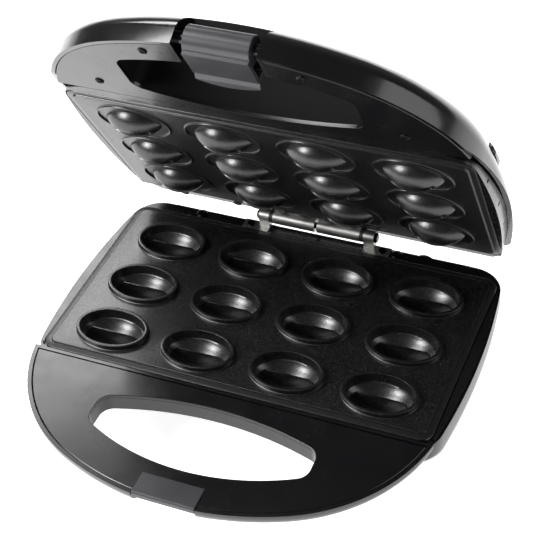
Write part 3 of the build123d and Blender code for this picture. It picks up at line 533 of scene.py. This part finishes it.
def cross_screw(radius, rise, shank, grip, n=30):
    """A domed screw head with a cross recess, and its shank; the head's foot is at z = 0."""
    bm = bmesh.new()
    slot, arm = 0.17 * radius, 0.6 * radius
    rows = []
    for i in range(n + 1):
        v = 2 * i / n - 1
        row = []
        for j in range(n + 1):
            u = 2 * j / n - 1
            x, y = radius * u * math.sqrt(1 - v * v / 2), radius * v * math.sqrt(1 - u * u / 2)
            z = rise * math.sqrt(max(1 - 0.9 * (x * x + y * y) / radius**2, 0.0))
            low, high = sorted((abs(x), abs(y)))
            across = min(1.0, max(0.0, 2.5 * (1 - low / slot)))
            along = min(1.0, max(0.0, 2.5 * (1 - high / arm)))
            z -= 0.75 * rise * across * along
            row.append(bm.verts.new((x, y, z)))
        rows.append(row)
    for a, b in zip(rows, rows[1:]):
        for j in range(n):
            bm.faces.new((a[j], a[j + 1], b[j + 1], b[j]))
    rim_edges = [e for e in bm.edges if e.is_boundary]
    skirt = bmesh.ops.extrude_edge_only(bm, edges=rim_edges)["geom"]
    for vert in (g for g in skirt if isinstance(g, bmesh.types.BMVert)):
        vert.co.z = 0.0
    skin(bm, [oval(shank, shank, 0.0, 24), oval(shank, shank, -grip, 24)], close=True)
    return bm


def screws(node, unit, places, way, place):
    """The screws of one node, their heads up or down."""
    bmesh.ops.scale(unit, vec=(1, 1, way), verts=unit.verts)
    bm = repeated(node, unit, places, node_slots()[node])
    bm.transform(place)
    shaded(bm, 50.0)
    return stands_for(new_object(node + "_made", bm), node)


def baking_plate(node, unit, hole, levels, deck_z, shift, place):
    """A coated plate: rounded border, deck with openings, and its repeated moulds or punches."""
    columns, lines = (-1.5, -0.5, 0.5, 1.5), (-1, 0, 1)
    grid = [(sx * PITCH[0], GRID_Y + sy * PITCH[1], 0.0) for sy in lines for sx in columns]
    bm = repeated(node, unit, grid, "nonstick_coating")
    width, depth, corner = PLATE
    border = [rounded(width - 2 * i, depth - 2 * i, max(corner - i, 1.0), z, shift) for i, z in levels]
    rows = skin(bm, border)
    if shift:
        bm.faces.new(rows[0])
    edges = [bm.edges.get((a, b)) for a, b in zip(rows[-1], rows[-1][1:] + rows[-1][:1])]
    for x, y, _ in grid:
        loop = [bm.verts.new((x + px, y + py, deck_z)) for px, py, _ in oval(hole[0], hole[1], 0.0)]
        edges += [bm.edges.new((a, b)) for a, b in zip(loop, loop[1:] + loop[:1])]
    bmesh.ops.triangle_fill(bm, use_beauty=True, edges=edges, normal=(0, 0, 1))
    bmesh.ops.remove_doubles(bm, verts=bm.verts, dist=0.002)
    bm.transform(place)
    shaded(bm)
    return stands_for(new_object(node + "_made", bm), node)


class MAKER_OT_finishes(bpy.types.Operator):
    """Makes the materials."""
    bl_idname = "maker.finishes"
    bl_label = "Finishes"

    def execute(self, context):
        finishes()
        return {"FINISHED"}


class MAKER_OT_base(bpy.types.Operator):
    """Lower shell, its handle panel, keeper and feet."""
    bl_idname = "maker.base"
    bl_label = "Base"

    def execute(self, context):
        softened("base_housing", 0.6, 0.15)
        softened("base_handle_panel", 0.3)
        softened("latch_keeper", 0.4)
        softened("rubber_feet", 0.6)
        places = [(x, 73.6, -2.3) for x in (-79, 53)]
        screws("rear_rail_screws", cross_screw(3.7, 1.8, 1.6, 6.0), places, 1, to_base())
        finish_nodes(["foot_screws", "cord_gland"])
        return {"FINISHED"}


class MAKER_OT_plates(bpy.types.Operator):
    """The two coated baking plates."""
    bl_idname = "maker.plates"
    bl_label = "Plates"

    def execute(self, context):
        levels = ((7.0, -5.0), (7.0, -2.5), (0.0, -2.5), (0.0, -0.5), (0.15, -0.15), (0.5, 0.0), (3.5, 0.0),
                  (3.85, 0.1), (4.0, 0.4), (4.0, 0.6), (4.12, 0.88), (4.4, 1.0), (4.8, 1.0))
        baking_plate("lower_plate", mould_mesh(), (23.2, 16.7), levels, LOWER_DECK, 0.0, to_base())
        levels = ((7.0, 12.0), (7.0, 9.5), (0.0, 9.5), (0.0, 7.5), (0.15, 7.15), (0.5, 7.0), (3.5, 7.0),
                  (3.85, 6.9), (4.0, 6.6), (4.0, 6.2), (4.12, 5.82), (4.4, 5.7), (4.8, 5.7))
        baking_plate("upper_plate", punch_mesh(), (23.7, 19.2), levels, UPPER_DECK, -2.0, to_lid())
        finish_nodes(["lower_plate_screws", "upper_plate_screws"])
        return {"FINISHED"}


class MAKER_OT_hinge(bpy.types.Operator):
    """Brackets, pin, washers and screws of the hinge."""
    bl_idname = "maker.hinge"
    bl_label = "Hinge"

    def execute(self, context):
        for node in ("hinge_bracket_lower", "hinge_bracket_upper", "hinge_washers", "hinge_pin"):
            softened(node, 0.2)
        finish_nodes(["hinge_bracket_lower_screws", "hinge_bracket_upper_screws"])
        return {"FINISHED"}


class MAKER_OT_lid(bpy.types.Operator):
    """Gloss cover, frame, panels, lens and lamps of the lid."""
    bl_idname = "maker.lid"
    bl_label = "Lid"

    def execute(self, context):
        softened("lid_cover", 0.6, 0.15)
        softened("lid_housing", 0.4, 0.13)
        softened("lid_handle_panel", 0.3)
        softened("indicator_lens", 0.4)
        places = [(x, y, 7.0) for x, y in ((-87, -92.5), (-43, -142), (43, -142), (87, -92.5))]
        screws("lid_handle_screws", cross_screw(2.6, 1.2, 1.6, 7.2), places, -1, to_lid())
        finish_nodes(["lid_top_panel", "lid_stops", "lamp_holder", "lamp_red", "lamp_green"])
        return {"FINISHED"}


class MAKER_OT_latch(bpy.types.Operator):
    """Swinging latch and its pin."""
    bl_idname = "maker.latch"
    bl_label = "Latch"

    def execute(self, context):
        softened("latch", 0.35)
        finish_nodes(["latch_pin"])
        return {"FINISHED"}


class MAKER_OT_inside(bpy.types.Operator):
    """Heaters, reflectors, clamps and electrical parts."""
    bl_idname = "maker.inside"
    bl_label = "Inside"

    def execute(self, context):
        finish_nodes(["lower_heater", "upper_heater", "lower_heater_clamps", "upper_heater_clamps",
                      "lower_reflector", "upper_reflector", "terminal_block", "thermal_fuse", "thermostat"])
        return {"FINISHED"}


def area(name, place, target, size, power):
    """One soft white light that faces a point."""
    data = bpy.data.lights.new(name, "AREA")
    data.shape = "RECTANGLE"
    data.size, data.size_y = size
    data.energy = power
    light = bpy.data.objects.new(name, data)
    light.location = place
    light.rotation_euler = (Vector(target) - Vector(place)).to_track_quat("-Z", "Y").to_euler()
    bpy.context.collection.objects.link(light)
    return light


class MAKER_OT_stage(bpy.types.Operator):
    """Pale floor, studio lights and the photograph's camera."""
    bl_idname = "maker.stage"
    bl_label = "Stage"

    def execute(self, context):
        mesh = bpy.data.meshes.new("floor")
        bm = bmesh.new()
        bmesh.ops.create_grid(bm, x_segments=1, y_segments=1, size=6.0)
        bm.to_mesh(mesh)
        bm.free()
        floor = bpy.data.objects.new("floor", mesh)
        context.collection.objects.link(floor)
        m = Nodes("floor_white")
        m.set("Base Color", m.mix(m.spread(m.noise(3.0), 0.0, 1.0), "#e4e4e4", "#eaeaea"))
        m.set("Roughness", 0.95)
        m.set("Specular IOR Level", 0.0)
        m.set("Emission Color", linear("#ffffff"))
        m.set("Emission Strength", 0.9)
        floor.data.materials.append(m.material)
        world = context.scene.world or bpy.data.worlds.new("studio")
        context.scene.world = world
        world.use_nodes = True
        world.node_tree.nodes["Background"].inputs["Color"].default_value = linear("#ffffff")
        world.node_tree.nodes["Background"].inputs["Strength"].default_value = 0.12
        area("key", (-1.0, -0.85, 0.85), (0, 0, 0.1), (0.5, 0.5), 20.0)
        area("top", (-1.0, -0.25, 1.4), (0, 0, 0.05), (0.7, 0.7), 20.0)
        area("back_left", (-1.0, 1.0, 1.15), (0, 0, 0.08), (0.6, 0.5), 8.0)
        area("right", (1.5, 0.2, 0.9), (0.1, 0, 0.1), (1.0, 1.2), 7.0)
        data = bpy.data.cameras.new("photo")
        data.lens = 98.88
        data.sensor_width = 36.0
        camera = bpy.data.objects.new("photo", data)
        context.collection.objects.link(camera)
        az, el, roll = 0.45315304, 0.7273878, -0.094243
        back = Vector((math.sin(az) * math.cos(el), -math.cos(az) * math.cos(el), math.sin(el)))
        right = Vector((math.cos(az), math.sin(az), 0.0))
        up = back.cross(right)
        side = right * math.cos(roll) + up * math.sin(roll)
        top = up * math.cos(roll) - right * math.sin(roll)
        aside, above, away = -1.006286, 25.143131, 881.23475
        place = (side * aside + top * above + back * away) * MM + Vector(MIDDLE)
        turn = Matrix((side, top, back)).transposed().to_4x4()
        camera.matrix_world = Matrix.Translation(place) @ turn
        context.scene.camera = camera
        context.scene.view_settings.view_transform = "Standard"
        return {"FINISHED"}


class MAKER_PT_panel(bpy.types.Panel):
    """Buttons in the order in which the object is finished."""
    bl_idname = "MAKER_PT_panel"
    bl_label = "Nut Cookie Maker"
    bl_space_type = "VIEW_3D"
    bl_region_type = "UI"
    bl_category = "Cookie Maker"

    def draw(self, context):
        column = self.layout.column()
        for name in ("gloss", "satin", "speckle"):
            column.prop(context.scene.maker_looks, name)
        for step in STEPS:
            column.operator(step.bl_idname)


STEPS = (MAKER_OT_finishes, MAKER_OT_base, MAKER_OT_plates, MAKER_OT_hinge, MAKER_OT_lid, MAKER_OT_latch,
         MAKER_OT_inside, MAKER_OT_stage)
CLASSES = (MakerLooks, *STEPS, MAKER_PT_panel)


def register():
    for c in CLASSES:
        bpy.utils.register_class(c)
    bpy.types.Scene.maker_looks = bpy.props.PointerProperty(type=MakerLooks)


def unregister():
    del bpy.types.Scene.maker_looks
    for c in reversed(CLASSES):
        bpy.utils.unregister_class(c)


def main():
    bpy.ops.maker.finishes()
    bpy.ops.maker.base()
    bpy.ops.maker.plates()
    bpy.ops.maker.hinge()
    bpy.ops.maker.lid()
    bpy.ops.maker.latch()
    bpy.ops.maker.inside()
    bpy.ops.maker.stage()


if __name__ == "__main__":
    register()
    main()
